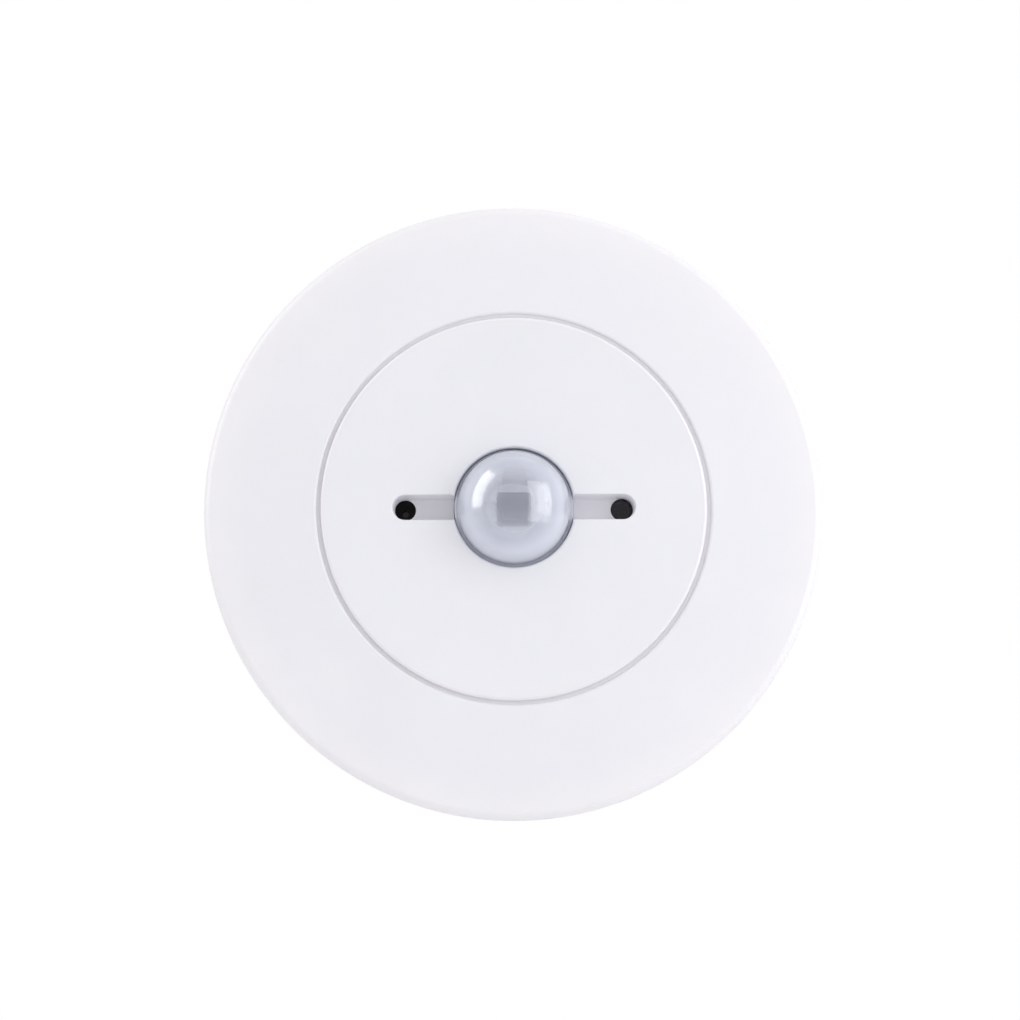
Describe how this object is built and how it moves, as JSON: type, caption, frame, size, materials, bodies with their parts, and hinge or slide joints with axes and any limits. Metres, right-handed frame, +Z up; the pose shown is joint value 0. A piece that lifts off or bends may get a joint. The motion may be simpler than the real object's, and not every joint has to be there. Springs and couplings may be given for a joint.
{
  "type": "motion sensor",
  "caption": "Round flush-mounted passive infrared motion sensor with a domed lens, a push-on trim ring, a rear terminal box and sprung mounting clips.",
  "frame": {"origin": "on the sensor's axis, in the plane of the flange's rear face, which rests on the ceiling or wall board", "axes": "+Y into the board and the void behind it, so the lens looks along -Y; +Z up when the sensor is in a wall, with the cable entry at the bottom; X across, along the clips and the two side windows"},
  "size_m": [0.088, 0.053, 0.088],
  "materials": {
    "face_white": "fine satin moulding, cool white",
    "body_white": "moulded, slightly warmer and duller than the face",
    "lens": "milky translucent polyethylene, smooth outside and faceted inside",
    "dark_window": "polished, dark to visible light",
    "black_plastic": "matt",
    "steel": "zinc plated",
    "spring_steel": "drawn wire",
    "nickel": "nickel plated can",
    "laminate": "green solder mask",
    "relay_blue": "moulded relay case",
    "film_box": "moulded capacitor box",
    "sleeve": "shrunk sleeve",
    "ferrite": "ferrite core under varnished copper",
    "varistor_blue": "dipped epoxy",
    "fuse_brown": "moulded fuse cap",
    "terminal_grey": "moulded",
    "release_orange": "moulded",
    "trimmer_blue": "moulded",
    "rotor_ivory": "moulded",
    "led": "clear tinted epoxy"
  },
  "bodies": {
    "sensor_body": {"housing": "body_white", "rear_cap": "body_white", "lens_dome": "lens", "lens_holder": "body_white", "pyro_can": "nickel", "pyro_filter": "dark_window", "pyro_header": "nickel", "pyro_spacer": "body_white", "sensor_board": "laminate", "light_tube": "black_plastic", "photodiode": "dark_window", "ir_receiver": "dark_window", "microcontroller": "black_plastic", "status_led": "led", "time_trimmer_body": "trimmer_blue", "lux_trimmer_body": "trimmer_blue", "learn_switch_body": "nickel", "board_link": "black_plastic", "power_board": "laminate", "relay": "relay_blue", "filter_capacitor": "film_box", "reservoir_capacitor": "sleeve", "choke": "ferrite", "varistor": "varistor_blue", "fuse": "fuse_brown", "terminal_block": "terminal_grey", "terminal_cover_pin": "steel", "cable_clamp": "body_white", "clamp_screw_1": "steel", "clamp_screw_2": "steel", "power_board_screw_1": "steel", "power_board_screw_2": "steel", "board_screw_1": "steel", "board_screw_2": "steel", "board_screw_3": "steel", "cap_screw_1": "steel", "cap_screw_2": "steel", "cap_screw_3": "steel", "clip_pin_left": "steel", "clip_pin_right": "steel", "clip_spring_left": "spring_steel", "clip_spring_right": "spring_steel"},
    "trim_ring": {"bezel": "face_white"},
    "centre_cover": {"inner_cover": "face_white", "ir_window": "dark_window"},
    "clip_left": {"clip_arm_left": "steel"},
    "clip_right": {"clip_arm_right": "steel"},
    "terminal_lid": {"terminal_cover": "body_white"},
    "time_rotor": {"time_trimmer_rotor": "rotor_ivory"},
    "lux_rotor": {"lux_trimmer_rotor": "rotor_ivory"},
    "learn_button": {"learn_switch_plunger": "black_plastic"},
    "release_1": {"release_button_1": "release_orange"},
    "release_2": {"release_button_2": "release_orange"},
    "release_3": {"release_button_3": "release_orange"},
    "release_4": {"release_button_4": "release_orange"}
  },
  "joints": [
    {"name": "trim_ring_pull", "type": "slide", "parent": "sensor_body", "child": "trim_ring", "axis": [0, -1, 0], "range_m": [0, 0.025]},
    {"name": "centre_cover_pull", "type": "slide", "parent": "trim_ring", "child": "centre_cover", "axis": [0, -1, 0], "range_m": [0, 0.02]},
    {"name": "clip_left_swing", "type": "hinge", "parent": "sensor_body", "child": "clip_left", "pos_m": [-0.0338, 0.014, 0], "axis": [0, 0, -1], "range_deg": [0, 140], "stiffness_Nm_per_rad": 0.02, "deforming": ["clip_spring_left"]},
    {"name": "clip_right_swing", "type": "hinge", "parent": "sensor_body", "child": "clip_right", "pos_m": [0.0338, 0.014, 0], "axis": [0, 0, 1], "range_deg": [0, 140], "stiffness_Nm_per_rad": 0.02, "deforming": ["clip_spring_right"]},
    {"name": "terminal_lid_hinge", "type": "hinge", "parent": "sensor_body", "child": "terminal_lid", "pos_m": [0, 0.0389, 0.0168], "axis": [1, 0, 0], "range_deg": [0, 105]},
    {"name": "time_trimmer_turn", "type": "hinge", "parent": "sensor_body", "child": "time_rotor", "pos_m": [-0.011, 0, -0.015], "axis": [0, 1, 0], "range_deg": [-135, 135]},
    {"name": "lux_trimmer_turn", "type": "hinge", "parent": "sensor_body", "child": "lux_rotor", "pos_m": [0.011, 0, -0.015], "axis": [0, 1, 0], "range_deg": [-135, 135]},
    {"name": "learn_button_press", "type": "slide", "parent": "sensor_body", "child": "learn_button", "axis": [0, 1, 0], "range_m": [0, 0.0004], "stiffness_N_per_m": 2000},
    {"name": "release_1_press", "type": "slide", "parent": "sensor_body", "child": "release_1", "axis": [0, -1, 0], "range_m": [0, 0.0015], "stiffness_N_per_m": 300},
    {"name": "release_2_press", "type": "slide", "parent": "sensor_body", "child": "release_2", "axis": [0, -1, 0], "range_m": [0, 0.0015], "stiffness_N_per_m": 300},
    {"name": "release_3_press", "type": "slide", "parent": "sensor_body", "child": "release_3", "axis": [0, -1, 0], "range_m": [0, 0.0015], "stiffness_N_per_m": 300},
    {"name": "release_4_press", "type": "slide", "parent": "sensor_body", "child": "release_4", "axis": [0, -1, 0], "range_m": [0, 0.0015], "stiffness_N_per_m": 300}
  ]
}
